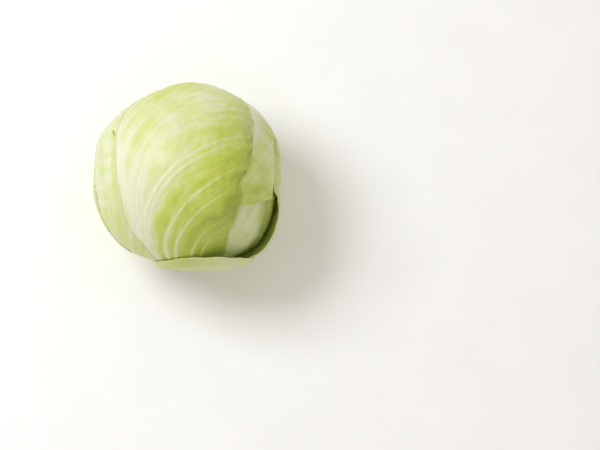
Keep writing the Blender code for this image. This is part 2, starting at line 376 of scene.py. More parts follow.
def near_veins(leaf, along, across):
    """The height of the veins in mm, their paleness, and the degrees to the nearest one."""
    height, pale = np.zeros(len(along)), np.zeros(len(along))
    nearest = np.full(len(along), NO_VEIN)
    for level, vein in whole_venation(leaf):
        line_along, line_across, _, part = vein_points(vein)
        inside = np.flatnonzero(
            (along > line_along.min() - VEIN_FELT) & (along < line_along.max() + VEIN_FELT)
            & (across > line_across.min() - VEIN_FELT) & (across < line_across.max() + VEIN_FELT))
        if len(inside) == 0:
            continue
        away = np.hypot(along[inside, None] - line_along, across[inside, None] - line_across)
        at = away.argmin(1)
        away = away[np.arange(len(inside)), at]
        taper = 1.0 - TAPER * part[at]
        fade = smooth_step(part[at], 1.0, 0.8) * smooth_step(part[at], -0.02, 0.05)
        half = np.maximum(vein.width / MM_PER_DEGREE / 2 * taper, NARROWEST_HALF)
        ridge = np.clip(1 - (away / (1.5 * half)) ** 2, 0, 1) ** 2 * fade
        halo = np.exp(-((away / (1.15 * half)) ** 2)) * fade
        height[inside] = np.maximum(height[inside], RIDGE[level] * taper**0.5 * ridge)
        pale[inside] = np.maximum(pale[inside], PALENESS[level] * (0.6 + 0.4 * taper) * halo)
        nearest[inside] = np.minimum(nearest[inside], away + 4 * (1 - fade))
    return height, pale, nearest


# %% [markdown]
# ## Pigment
#
# Leaves are green where light reached them while they grew and creamy where another leaf shaded them. On
# this head the leaf on top is cream beside its midrib and lime green towards its right margin. Each
# leaf's pigment is a smooth field on its own map, kept as numbers on the points of the mesh, so the
# material can blend it with the veins. The field also carries some painted light and shade: the leaf on top
# is paler where it curves away towards its right margin, the small leaf by the stem is greener on the
# shaded side of its crease, and the loose leaf's rim is greener partly for its own inner face and partly as
# painted light shining through it. Wax whitens a leaf where nothing rubbed it off, and a few dark marks are
# painted shade, a slit in the gap at a margin and dots in the crinkles of another margin, so both are kept
# in the same way.

# %% Pigment with some painted light and shade, wax and painted shade marks of each leaf
def cream_wedge(along, across):
    """1 on the thick pale tissue beside the midrib of the leaf on top."""
    beside = 1 - smooth_step(across - 0.15 * along, 14, 36)
    return beside * (1 - smooth_step(along, 5, 75))


def pigment_with_painted_light(leaf, rays, along, across):
    """How green the blade is, from 0 for blanched tissue to 1 for the deepest green, with painted light and
    shade in places.
    """
    clouds = 0.07 * ripples(rays, 9, 7) + 0.05 * ripples(rays, 24, 8)
    if leaf.name == "main_leaf":
        green = 0.34 + 0.28 * smooth_step(across, 20, 72) + 0.26 * smooth_step(across - 0.6 * along, 20, 80)
        green -= 0.12 * smooth_step(along, 70, 110)
        # Paler where the leaf curves away towards its right margin: painted light against the shade there.
        green -= 0.10 * smooth_step(along, 30, 60) * smooth_step(across, 40, 65)
        return np.clip(green * (1 - 0.85 * cream_wedge(along, across)) + clouds, 0, 1)
    if leaf.name == "right_leaf":
        low = 1 - smooth_step(along, 38, 60)
        return np.clip(0.06 + 0.50 * low + clouds, 0, 1)
    if leaf.name == "left_leaf":
        inward = np.hypot((along - leaf.middle) / leaf.reach, across / leaf.width)
        streaks = 0.07 * np.sin(34 * inward + 3 * clouds) + 0.04 * np.sin(81 * inward)
        return np.clip(0.20 + 0.16 * smooth_step(-along, 45, 85) + streaks + 0.4 * clouds, 0, 1)
    if leaf.name == "patch_leaf":
        # Greener below the crease: painted shade on the facet that faces away from the lamp.
        shade_below_crease = 1 - smooth_step(side_of_fold(along, across), -0.6, 0.6)
        return np.clip(0.36 + 0.12 * shade_below_crease + 0.35 * smooth_step(across, 22, 29) + 0.5 * clouds, 0, 1)
    if leaf.name == "loose_leaf":
        # Greener at the rim: partly its own inner face, partly painted light shining through the leaf.
        rim_green_and_backlight = smooth_step(angle_between(rays, direction(82, 80)), 30, 8)
        return np.clip(0.42 + 0.16 * rim_green_and_backlight + clouds, 0, 1)
    return np.clip(0.40 + clouds, 0, 1)


WAX_LEVEL = {"main_leaf": -0.1, "right_leaf": 0.0, "patch_leaf": 0.35, "left_leaf": 0.3}
USUAL_WAX = 0.2


def wax(leaf, rays, along, across):
    """Where the wax is thick enough to whiten the leaf."""
    white = 0.15 * ripples(rays, 8, 9) + WAX_LEVEL.get(leaf.name, USUAL_WAX)
    if leaf.name == "main_leaf":
        white += 0.7 * smooth_step(along, 55, 95) * smooth_step(across, 20, 60)
    if leaf.name == "right_leaf":
        white += smooth_step(along, 32, 52)
    return np.clip(white, 0, 1)


SLIT_POLAR, SLIT_TURN = 118.5, -77.5    # a small dark slit at the upper left, painted shade of the gap at a leaf's margin
SLIT_WAY = (0.72, -0.68, 0.0)           # which way it runs
SLIT_LENGTH, SLIT_WIDTH = 2.6, 0.50     # half of each, in degrees
CRINKLE_WAVES, CRINKLE_SEED = 62, 51


def painted_shade_marks(leaf, rays, along, edge):
    """1 where shade is painted dark: a slit in a gap at a margin, and dots in the crinkles of the margin at
    the right.
    """
    if leaf.name not in ("main_leaf", "left_leaf"):
        return np.zeros(len(rays))
    middle = direction(SLIT_POLAR, SLIT_TURN)
    down_right = SLIT_WAY - np.dot(SLIT_WAY, middle) * middle
    down_right /= np.linalg.norm(down_right)
    length, width = np.degrees(rays @ down_right), np.degrees(rays @ np.cross(middle, down_right))
    slit = np.exp(-((length / SLIT_LENGTH) ** 4) - (width / SLIT_WIDTH) ** 2) * (rays @ middle > 0)
    if leaf.name == "left_leaf":
        return slit
    dots = smooth_step(ripples(rays, CRINKLE_WAVES, CRINKLE_SEED), 0.0, 0.9) * smooth_step(edge, 0.91, 0.98)
    return np.maximum(slit, 0.5 * dots * smooth_step(along, 15, 40) * (1 - smooth_step(along, 95, 115)))


# %% [markdown]
# ## Modelling a leaf
#
# A leaf starts as a grid. Its points are moved, as a sculptor would, first onto the leaf's round outline
# and then out to where the leaf lies on the head. The veins rise from it, the blade puffs up between them,
# and the margin is pressed down and frilled. Then Solidify gives the sheet a thickness that a vertex
# group varies: thin at the margin, thick where the leaf meets the stem.

# %% Helpers for meshes
MARGIN_AIR = 0.00002        # left under a pressed margin
PRESSED_MOST = 0.0026       # a margin comes down onto the next leaf, and no further
THICKEST = 0.0045           # more than any leaf's base beside the stem
BLADE_WALL, MARGIN_WALL, BASE_WALL = 0.0010, 0.0003, 0.0030   # a leaf's thickness, and what its base adds


def select_only(obj):
    bpy.ops.object.select_all(action="DESELECT")
    obj.select_set(True)
    bpy.context.view_layer.objects.active = obj


def add_grid(name, columns, rows):
    """A flat grid of points from -1 to 1, ready to be shaped."""
    bpy.ops.object.select_all(action="DESELECT")
    bpy.ops.mesh.primitive_grid_add(x_subdivisions=columns, y_subdivisions=rows, size=2)
    obj = bpy.context.object
    obj.name = obj.data.name = name
    return obj


def points_of(obj):
    places = np.empty(3 * len(obj.data.vertices), np.float32)
    obj.data.vertices.foreach_get("co", places)
    return places.reshape(-1, 3).astype(float)


def move_points(obj, places):
    obj.data.vertices.foreach_set("co", places.astype(np.float32).ravel())
    obj.data.update()


def store(obj, name, values):
    """Keeps one number for each point, where the material can read it."""
    layer = obj.data.attributes.new(name, "FLOAT", "POINT")
    layer.data.foreach_set("value", values.astype(np.float32))


def give_thickness(obj, thickness):
    """Solidify inwards, by a different amount at each point."""
    group = obj.vertex_groups.new(name="thickness")
    for index, amount in enumerate(thickness):
        group.add((index,), float(amount) / THICKEST, "REPLACE")
    wall = obj.modifiers.new("leaf thickness", "SOLIDIFY")
    wall.thickness = THICKEST
    wall.offset = -1.0
    wall.vertex_group = "thickness"
    select_only(obj)
    bpy.ops.object.modifier_apply(modifier=wall.name)
    obj.vertex_groups.clear()
    bpy.ops.object.shade_smooth_by_angle(angle=math.radians(70))


# %% [markdown]
# The margin of a cabbage leaf is never a clean arc. Small scallops and a few larger bites are cut by
# drawing the outer part of the sheet inwards, by an amount that changes round the outline. Drawing the
# points in keeps the grid whole, where cutting it would leave a rough edge of triangles.

# %% The leaf's outline and its relief
def bites(leaf, a, b):
    """How far the margin is drawn in, as a share of the leaf's size, by the angle round its outline."""
    scallops, big = RAGGED[leaf.name]
    bearing = np.arctan2(b, a)
    random = np.random.default_rng(int(leaf.polar + abs(leaf.turn)))
    drawn = np.zeros(len(a))
    for waves in (23, 37, 58, 83):
        drawn += scallops * np.sin(waves * bearing + random.uniform(0, 6.28))
    for waves in (5, 9, 14):
        drawn += big * np.sin(waves * bearing + random.uniform(0, 6.28))
    if leaf.name in NOTCH:
        middle, breadth, depth = NOTCH[leaf.name]
        drawn += depth * np.exp(-(((np.degrees(bearing) - middle) / breadth) ** 2))
    return drawn * smooth_step(np.hypot(a, b), 0.70, 1.0)


THIN_FROM = 0.93            # how far out on a leaf, from 0 to 1, it begins to thin and flatten
BASE_ANGLES = (34, 14)      # the angles from the stem between which a blade turns into its base
VEINS_SHOW = {"patch_leaf": (0.2, 0.15), "right_leaf": (1.0, 0.6)}   # shares of height and of paleness
BROKEN_OFF = 13.0           # how far the broken lower corner of the leaf at the right is set back


def broken_corner(leaf, a, b):
    """The degrees by which a leaf's margin is set back where its lower corner was broken off."""
    if leaf.name != "right_leaf":
        return 0.0
    beside_break = smooth_step(-a, -0.04, 0.16) * (1 - smooth_step(-a, 0.16, 0.50))
    return BROKEN_OFF * beside_break * smooth_step(np.abs(b), 0.60, 1.0)


FOLD_ALONG, FOLD_ACROSS, FOLD_HEADING = 1.0, 0.0, 124.0   # where the small leaf by the stem is creased
FOLD_HEIGHT, FOLD_BREADTH = 0.9, 4.0                      # in mm and in degrees


def side_of_fold(along, across):
    """The degrees from the crease of the small leaf by the stem, positive above it."""
    way = math.radians(FOLD_HEADING)
    return (along - FOLD_ALONG) * math.sin(way) - (across - FOLD_ACROSS) * math.cos(way)


def circle_points(obj):
    """The grid's square made round, as a and b on the leaf's circle."""
    square = points_of(obj)
    a = square[:, 0] * np.sqrt(1 - square[:, 1] ** 2 / 2)
    return a, square[:, 1] * np.sqrt(1 - square[:, 0] ** 2 / 2)


def leaf_relief(count, rays, along, across, edge):
    """How far a leaf's outer face rises over the smooth stack, in mm, with what near_veins measured."""
    leaf = OUTER_LEAVES[count]
    height, pale, nearest = near_veins(leaf, along, across)
    height_share, pale_share = VEINS_SHOW.get(leaf.name, (1.0, 1.0))
    height *= height_share
    if leaf.name == "patch_leaf":
        height += FOLD_HEIGHT * np.exp(-np.abs(side_of_fold(along, across)) / FOLD_BREADTH)
    base = smooth_step(angle_between(rays, STEM), *BASE_ANGLES)
    puff = 0.50 * smooth_step(nearest, 0.5, 5.0) - 0.40
    relief = height + puff + 0.14 * ripples(rays, 60, count)
    return relief * (1 - smooth_step(edge, THIN_FROM, 1.0)) * (1 - 0.5 * base), pale * pale_share, nearest


def surface_under(count, rays):
    """The distance out to the topmost leaf under leaf number "count" in these directions."""
    radius = BALL_RADIUS * roundness(rays) - 2 * LEAF_GAP
    bare = np.arange(len(rays))
    for under in reversed(range(count)):
        edge = np.hypot(*place_on_leaf(SHOWN_LEAVES[under], rays[bare]))
        at = bare[edge < 1.0]
        if len(at):
            along, across = plane_of_rays(OUTER_LEAVES[under], rays[at])
            relief = leaf_relief(under, rays[at], along, across, edge[edge < 1.0])[0]
            radius[at] = outer_radius(rays[at], OUTER_LEAVES[: under + 1]) - LEAF_GAP + MM * relief
        bare = bare[edge >= 1.0]
    return radius


def pressed_to(count, rays, radius, press, thickness):
    """These distances, with the leaf brought down onto what lies under it where "press" is 1."""
    near = np.flatnonzero(press > 0)
    lowest = surface_under(count, rays[near]) + thickness[near] + MARGIN_AIR
    lowest = np.maximum(lowest, radius[near] - PRESSED_MOST)
    radius = radius.copy()
    radius[near] = np.maximum(radius[near] * (1 - press[near]) + lowest * press[near], lowest)
    return radius


print("relief and margins are ready")

# %% [markdown]
# With these, an outer leaf is a short recipe: outline, distance from the centre, relief, margin, numbers
# for the material, and thickness.

# %% One outer leaf
def model_outer_leaf(count, columns):
    """One outer leaf with its veins, puffed blade, pressed margin and thickness."""
    leaf = SHOWN_LEAVES[count]
    obj = add_grid(leaf.name + "_look", columns, columns)
    a, b = circle_points(obj)
    drawn = bites(leaf, a, b)
    edge = np.hypot(a, b)
    along, across = plane_of_leaf(leaf, a * (1 - drawn), b * (1 - drawn))
    along = along + broken_corner(leaf, a, b)
    rays = rays_of_plane(leaf, along, across)
    relief, pale, nearest = leaf_relief(count, rays, along, across, edge)
    stem_angle = angle_between(rays, STEM)
    thickness = MARGIN_WALL + (BLADE_WALL - MARGIN_WALL) * (1 - smooth_step(edge, THIN_FROM, 1.0))
    thickness += BASE_WALL * smooth_step(stem_angle, 26, 16)
    radius = outer_radius(rays, OUTER_LEAVES[: count + 1]) - LEAF_GAP + MM * relief
    loose = smooth_step(1000 * rim_lift(leaf, rays), 0.3, 2.0)
    radius = pressed_to(count, rays, radius, smooth_step(edge, 0.85, 0.97) * (1 - loose), thickness)
    frill = FRILL.get(leaf.name, 0.0) * (1 + ripples(rays, 70, 20 + count))
    radius += MM * frill * smooth_step(edge, 0.94, 1.0)
    move_points(obj, settled(rays, radius))
    store(obj, "pale", pale)
    store(obj, "between", smooth_step(nearest, 0.8, 6.0))
    store(obj, "green", pigment_with_painted_light(leaf, rays, along, across))
    store(obj, "wax", wax(leaf, rays, along, across))
    store(obj, "margin", smooth_step(edge, 0.975, 1.0))
    store(obj, "mark", painted_shade_marks(leaf, rays, along, edge))
    store(obj, "base", smooth_step(stem_angle, *BASE_ANGLES))
    obj.data.flip_normals()
    give_thickness(obj, thickness)
    print(obj.name, "has", len(obj.data.polygons), "faces")
    return obj


# %% [markdown]
# ## Colour and nodes
#
# Colours are picked as sRGB hex values, which is how swatches are read, and turned to the linear values
# that the renderer adds and multiplies. One function makes every node, so that each material below reads
# as a list of what is mixed with what.

# %% Colour and node helpers
def linear(hex_colour):
    """An sRGB hex colour as the linear RGBA that shaders take."""
    parts = [int(hex_colour[at:at + 2], 16) / 255 for at in (1, 3, 5)]
    return (*(part / 12.92 if part <= 0.04045 else ((part + 0.055) / 1.055) ** 2.4 for part in parts), 1.0)


def feed(node, inputs):
    """Gives each of these sockets its value, or links it to the output that feeds it."""
    for socket, value in inputs.items():
        if isinstance(value, bpy.types.NodeSocket):
            node.id_data.links.new(value, node.inputs[socket])
        else:
            node.inputs[socket].default_value = value


def add_node(tree, kind, inputs=None, **settings):
    node = tree.nodes.new(kind)
    for name, value in settings.items():
        setattr(node, name, value)
    feed(node, inputs or {})
    return node


def new_material(name):
    material = bpy.data.materials.new(name)
    material.use_nodes = True
    return material, material.node_tree, material.node_tree.nodes["Principled BSDF"]


print("linear lime", linear("#BCC76B"))

# %% [markdown]
# ## Waxy cabbage leaf
#
# A living leaf: a thin watery blade under a film of wax. The wax is what gives the eye a soft wide gleam
# and a bloom that is a little blue and milky. The blade below carries the pigment, from cream beside the
# ribs through lime to green, and a fine net of veins shows as paler lines. Light enters the tissue and
# spreads a millimetre or two, so a little subsurface scattering softens it.

# %% Leaf material
NET_MM = 5.0                # the meshes of the fine net of veins
CLOUD_MM = 26.0             # the soft clouds of pigment
BLOOM_MM = 40.0             # the smudges where the wax is thicker
GRAIN_MM = 3.0              # the finest unevenness of the blade
TISSUE = (0.0030, 0.0034, 0.0012)   # how far red, green and blue light spread in the blade, in metres
# The last of these is painted shade, the dark of a slit in a margin's gap and of crinkles.
MARGIN_COLOUR, BASE_COLOUR, SHADE_MARK_COLOUR = "#D9DC9C", "#E9E8CF", "#7C8A22"


def pattern_scale(size_mm):
    """A texture scale whose features are about this size on Object coordinates in metres."""
    return 1.0 / (size_mm * MM)


def add_ramp(tree, factor, stops):
    """A colour ramp through these (place, hex colour) stops."""
    node = add_node(tree, "ShaderNodeValToRGB", {"Fac": factor})
    elements = node.color_ramp.elements
    for index, (place, colour) in enumerate(stops):
        stop = elements[index] if index < 2 else elements.new(place)
        stop.position, stop.color = place, linear(colour)
    return node.outputs["Color"]


def add_mix(tree, factor, first, second):
    """Mixes two colours, each a socket or a hex colour."""
    first, second = (linear(one) if isinstance(one, str) else one for one in (first, second))
    return add_node(tree, "ShaderNodeMix", {0: factor, 6: first, 7: second}, data_type="RGBA").outputs[2]


def add_sum(tree, value, factor, rest, clamp=False):
    """value * factor + rest."""
    return add_node(tree, "ShaderNodeMath", {0: value, 1: factor, 2: rest},
                    operation="MULTIPLY_ADD", use_clamp=clamp).outputs[0]


def add_range(tree, value, start, end, low, high):
    """Low where the value is at the start, high where it is at the end, and even between."""
    return add_node(tree, "ShaderNodeMapRange", {"Value": value, "From Min": start, "From Max": end,
                                                 "To Min": low, "To Max": high}).outputs[0]


def add_noise(tree, spot, size_mm, detail=2.0, roughness=0.5):
    """Cloudy noise whose features are about this size."""
    return add_node(tree, "ShaderNodeTexNoise", {"Vector": spot, "Scale": pattern_scale(size_mm),
                                                 "Detail": detail, "Roughness": roughness}).outputs["Fac"]


def add_bump(tree, height, strength, distance):
    """The normal of a surface that a texture raises by up to this distance."""
    return add_node(tree, "ShaderNodeBump", {"Height": height, "Strength": strength,
                                             "Distance": distance}).outputs["Normal"]


def waxy_leaf(name, stops, bloom, bloom_amount):
    """A leaf whose blade runs through these colours as its pigment rises."""
    material, tree, shader = new_material(name)
    spot = add_node(tree, "ShaderNodeTexCoord").outputs["Object"]
    stored = {key: add_node(tree, "ShaderNodeAttribute", attribute_name=key).outputs["Fac"]
              for key in ("pale", "between", "green", "wax", "margin", "base", "mark")}
    cloud, grain, smudge = (add_noise(tree, spot, size, 4.0, 0.6)
                            for size in (CLOUD_MM, GRAIN_MM, BLOOM_MM))
    net = add_node(tree, "ShaderNodeTexVoronoi", {"Vector": spot, "Scale": pattern_scale(NET_MM)},
                   feature="DISTANCE_TO_EDGE")
    thread = add_range(tree, net.outputs["Distance"], 0.0, 0.10, 1.0, 0.0)
    # Pigment, with the painted light and shade that the stored field carries in places: deeper between the
    # veins and thinned by the veins and the fine net.
    level = add_sum(tree, stored["between"], 0.16, stored["green"])
    level = add_sum(tree, cloud, 0.34, level)
    level = add_sum(tree, grain, 0.10, level)
    level = add_sum(tree, level, 1.0, -0.26)
    lighter = add_sum(tree, stored["pale"], -0.72, 1.0)
    level = add_node(tree, "ShaderNodeMath", {0: level, 1: lighter}, operation="MULTIPLY").outputs[0]
    level = add_sum(tree, thread, -0.07, level, clamp=True)
    colour = add_ramp(tree, level, stops)
    # Wax, thicker in smudges, and thin margins and bases that stayed cream.
    waxed = add_range(tree, smudge, 0.35, 0.70, 0.3 * bloom_amount, bloom_amount)
    waxed = add_sum(tree, stored["wax"], 0.42, waxed, clamp=True)
    colour = add_mix(tree, waxed, colour, bloom)
    colour = add_mix(tree, add_sum(tree, stored["margin"], 0.35, 0.0), colour, MARGIN_COLOUR)
    colour = add_mix(tree, add_sum(tree, stored["base"], 0.75, 0.0), colour, BASE_COLOUR)
    # Painted shade: a dark slit in a gap at a margin and dots in the margin's crinkles.
    colour = add_mix(tree, stored["mark"], colour, SHADE_MARK_COLOUR)
    rough = add_sum(tree, thread, 0.5, grain)
    feed(shader, {"Base Color": colour, "Roughness": add_range(tree, smudge, 0.0, 1.0, 0.36, 0.56),
                  "Normal": add_bump(tree, rough, 0.35, 0.0003), "IOR": 1.42,
                  "Sheen Weight": 0.12, "Sheen Roughness": 0.5,
                  "Subsurface Weight": 0.18, "Subsurface Radius": TISSUE, "Subsurface Scale": 1.0})
    return material


GREEN_LEAF = waxy_leaf(
    "waxy cabbage leaf, sunned",
    ((0.0, "#E2E3C0"), (0.25, "#D2DA94"), (0.50, "#C3CF58"), (0.75, "#B4C32E"), (1.0, "#9DB024")),
    "#DDE4CE", 0.10)
PALE_LEAF = waxy_leaf(
    "waxy cabbage leaf, shaded",
    ((0.0, "#EDEFD2"), (0.25, "#DFE5B0"), (0.50, "#CDD868"), (0.75, "#B8C73C"), (1.0, "#A0B430")),
    "#E6ECD8", 0.14)
print("two leaf materials, with a net of veins at scale", pattern_scale(NET_MM))

# %% [markdown]
# The outer leaves are modelled from the innermost to the outermost. Each stands for the plain solid leaf
# of the same name, which it hides, takes one of the two leaf materials, and moves with the whole head.

# %% The outer leaves
COLUMNS_ON_TOP, COLUMNS_UNDER = 218, 150   # the fine grid is for the two leaves that show the most
PALE_NAMES = ("patch_leaf", "back_leaf", "right_leaf")

for count, leaf in enumerate(OUTER_LEAVES):
    columns = COLUMNS_ON_TOP if leaf.name in ("main_leaf", "left_leaf") else COLUMNS_UNDER
    piece = model_outer_leaf(count, columns)
    pale = leaf.name in PALE_NAMES
    piece.data.materials.append(PALE_LEAF if pale else GREEN_LEAF)
    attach(piece, "root")
    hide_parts(leaf.name)

# %% [markdown]
# ## The clasping base
#
# The outermost leaf of all was trimmed away, and only its base is left: a pale smooth band that clasps the
# front of the head just above the stem. It is a strip and not a round leaf, so its grid is laid straight
# on the globe: one side of the grid runs round the stem and the other away from it.

# %% The clasping base of the outermost leaf
FRONT_BASE = 14.0           # the polar angle where it starts, beside the stem
FRONT_ENDS = (-27.0, 78.0)  # the turns of its two ends
FRONT_MARGIN, FRONT_RISE, FRONT_FALL = 42.0, 18.5, 5.0
FRONT_LIFT = 0.0025         # how far its margin stands off the head
LIFT_TURN, LIFT_SPREAD = 38.0, 16.0   # where it does so, and how far that spreads
FRONT_COLUMNS, FRONT_ROWS = 80, 110
FRONT_VEINS = (-9, 3, 13, 24, 33, 44, 55, 64)   # the turns at which a vein runs straight up the band

front = add_grid("front_leaf_look", FRONT_COLUMNS, FRONT_ROWS)
x, y = points_of(front)[:, :2].T
left, right = FRONT_ENDS
turn = (left + right) / 2 + (right - left) / 2 * y
margin = FRONT_MARGIN + FRONT_RISE * smooth_step(turn, left, LIFT_TURN)
margin -= FRONT_FALL * smooth_step(turn, LIFT_TURN, right)
margin -= (margin - FRONT_BASE) / 2 * np.abs(y) ** 7
margin += 0.25 * np.sin(turn * 0.45) + 0.10 * np.sin(turn * 1.1 + 1.0)
polar = FRONT_BASE + (margin - FRONT_BASE) * (x + 1) / 2
rays = np.array([direction(*place) for place in zip(polar, turn)])
stands = np.exp(-(((turn - LIFT_TURN) / LIFT_SPREAD) ** 2))
veins = np.exp(-((np.subtract.outer(turn + 2 * np.sin(polar / 9), FRONT_VEINS) / 1.1) ** 2)).max(1)
edge = np.maximum(x, np.abs(y))
thickness = 0.0006 + 0.0005 * (1 - smooth_step(edge, 0.85, 1.0)) + 0.0028 * smooth_step(polar, 26, 16)
radius = outer_radius(rays, OUTER_LEAVES) + LEAF_THICKNESS + FRONT_LIFT * smooth_step(x, 0.0, 1.0) * stands
radius += MM * (0.12 * veins + 0.12 * ripples(rays, 30, 31) - 0.3)
press = np.maximum(smooth_step(x, 0.45, 0.95) * smooth_step(turn, 24, 4),
                   smooth_step(np.abs(y), 0.80, 0.98))
radius = pressed_to(len(OUTER_LEAVES), rays, radius, press, thickness)
move_points(front, settled(rays, radius))
store(front, "pale", 0.12 * veins)
store(front, "between", 0.6 - 0.2 * veins)
store(front, "green", 0.48 + 0.06 * ripples(rays, 12, 32))
store(front, "wax", 0.55 + 0.2 * ripples(rays, 8, 33))
store(front, "margin", smooth_step(x, 0.93, 1.0))
store(front, "mark", np.zeros(len(x)))
store(front, "base", smooth_step(polar, 32, 16))
front.data.flip_normals()
give_thickness(front, thickness)
front.data.materials.append(GREEN_LEAF)
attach(front, "root")
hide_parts("front_leaf")
print("clasping base of", len(front.data.polygons), "faces")

# %% [markdown]
# ## Inner leaves and heart
#
# Inside, ten thicker leaves are packed round a bud of young ones. They stay blanched, so they are cream
# with a breath of yellow green, crisp and a little glossy. They are built on the same map as the outer
# leaves, with a coarser grid, because nothing of them shows from outside except beside the stem.

# %% Blanched tissue
INNER_LEAVES, INNER_THICKNESS, INNER_PITCH = 10, 0.0030, 0.0048
GOLDEN_ANGLE = 137.5        # each leaf grows this far round the stem from the one before
CORE_TIP, CORE_END, CORE_RADIUS = 0.0275, 0.0865, 0.0150
BLANCHED_CLOUD_MM = 12.0


def blanched(name, stops):
    """Watery tissue that grew without light: clouds of cream and yellow green, and faint ribs."""
    material, tree, shader = new_material(name)
    spot = add_node(tree, "ShaderNodeTexCoord").outputs["Object"]
    cloud = add_noise(tree, spot, BLANCHED_CLOUD_MM, 5.0)
    feed(shader, {"Base Color": add_ramp(tree, cloud, stops), "Normal": add_bump(tree, cloud, 0.3, 0.0006),
                  "Roughness": 0.38, "IOR": 1.38})
    return material


BLANCHED_LEAF = blanched("blanched cabbage leaf", ((0.30, "#E3E6B8"), (0.55, "#EFEFD2"), (0.75, "#F4F3E2")))
YELLOW_BUD = blanched("folded cabbage bud", ((0.30, "#E2DE92"), (0.55, "#EBE8AE"), (0.75, "#F1EFCC")))


def core_radius(distance):
    """The core's radius at a distance from the ball's centre: wide at the cut, blunt at the tip."""
    share = min(max((distance - CORE_TIP) / (CORE_END - CORE_TIP), 0.0), 1.0)
    return CORE_RADIUS * (0.38 + 0.62 * math.sin(share * math.pi / 2))


# %% The ten inner leaves
INNER_CENTRE, INNER_REACH, INNER_WIDTH = 85, 71, 92   # the map of an inner leaf, in degrees
INNER_COLUMNS = 44

for count in range(INNER_LEAVES):
    shell = BALL_RADIUS - 2 * LEAF_GAP - INNER_PITCH * (INNER_LEAVES - 1 - count)
    base = math.degrees(math.asin(core_radius(shell) / (shell - INNER_THICKNESS))) + 3.0
    name = f"inner_leaf_{count + 1:02d}"
    leaf = Leaf(name, INNER_CENTRE, 90 + GOLDEN_ANGLE * count, base + INNER_REACH - INNER_CENTRE,
                INNER_REACH, INNER_WIDTH, 1.0, 0)
    piece = add_grid(name + "_look", INNER_COLUMNS, INNER_COLUMNS)
    a, b = circle_points(piece)
    along, across = plane_of_leaf(leaf, a, b)
    rays = rays_of_plane(leaf, along, across)
    rib = smooth_step(-np.abs(across) + 0.12 * (leaf.reach - along), 0, 8)
    waves = 0.25 * ripples(rays, 22, 40 + count)
    move_points(piece, settled(rays, shell * roundness(rays) + MM * (waves + 0.3 * rib - 0.6)))
    piece.data.flip_normals()
    give_thickness(piece, 0.0014 + 0.0010 * rib)
    piece.data.materials.append(BLANCHED_LEAF)
    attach(piece, "root")
    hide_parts(name)
print(INNER_LEAVES, "inner leaves")

# %% [markdown]
# The heart is the growing tip, wrapped in leaves too young to unfold. It is modelled as a ball of fine
# facets whose surface is folded into three overlapping ridges that wind from pole to pole.

# %% The heart bud
HEART_RADIUS = 0.0248
FOLD_DEPTH = 0.035          # of the bud's radius

bpy.ops.object.select_all(action="DESELECT")
bpy.ops.mesh.primitive_ico_sphere_add(subdivisions=5, radius=HEART_RADIUS)
bud = bpy.context.object
bud.name = bud.data.name = "heart_bud_look"
places = points_of(bud)
twist = np.arctan2(places[:, 1], places[:, 0]) * 3 + 60 * places[:, 2]
folds = 1 + FOLD_DEPTH * (np.abs(np.sin(twist / 2)) ** 0.6 - 0.8)
places[:, :2] *= folds[:, None]
# What stands upright so far is turned to lie along the stem.
turned = np.array(Vector((0, 0, 1)).rotation_difference(Vector(STEM)).to_matrix())
move_points(bud, places @ turned.T + CENTRE)
select_only(bud)
bpy.ops.object.shade_smooth_by_angle(angle=math.radians(70))
bud.data.materials.append(YELLOW_BUD)
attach(bud, "root")
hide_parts("heart_bud")
print("bud of", len(bud.data.polygons), "faces")

# %% [markdown]
# ## The cut stem
#
# The stem was cut through with a knife close under the leaves. Its face shows pith in the middle, a ring
# of strands that once fed the leaves, and a green rind, and it has dried a little brown. A cylinder gives
# the face, insets give its rings, and the side is drawn in towards the tip of the core.

# %% The stem and core
STEM_SIDES = 72
STEM_RINGS = 26

bpy.ops.object.select_all(action="DESELECT")
bpy.ops.mesh.primitive_cylinder_add(vertices=STEM_SIDES, radius=CORE_RADIUS, depth=CORE_END - CORE_TIP,
                                    location=(0, 0, (CORE_END + CORE_TIP) / 2))
stem = bpy.context.object
stem.name = stem.data.name = "stem_core_look"
bpy.ops.object.transform_apply(location=True)
bpy.ops.object.mode_set(mode="EDIT")
for ring in range(1, STEM_RINGS):
    height = CORE_TIP + (CORE_END - CORE_TIP) * ring / STEM_RINGS
    bpy.ops.mesh.select_all(action="SELECT")
    bpy.ops.mesh.bisect(plane_co=(0, 0, height), plane_no=(0, 0, 1))
bpy.ops.object.mode_set(mode="OBJECT")
for face in stem.data.polygons:
    face.select = abs(face.normal.z) > 0.9
bpy.ops.object.mode_set(mode="EDIT")
bpy.ops.mesh.select_mode(type="FACE")
for step in (0.0010, 0.0014, 0.0022, 0.0026, 0.0026, 0.0022):
    bpy.ops.mesh.inset(thickness=step, depth=0.0)
bpy.ops.object.mode_set(mode="OBJECT")
print("stem of", len(stem.data.polygons), "faces")

# %% [markdown]
# The knife leaves the face a little dished and ridged, the rind bulges where leaves were attached, and the
# core narrows inwards. These are moves of points by their own height and angle, as a sculpting brush
# would make them.

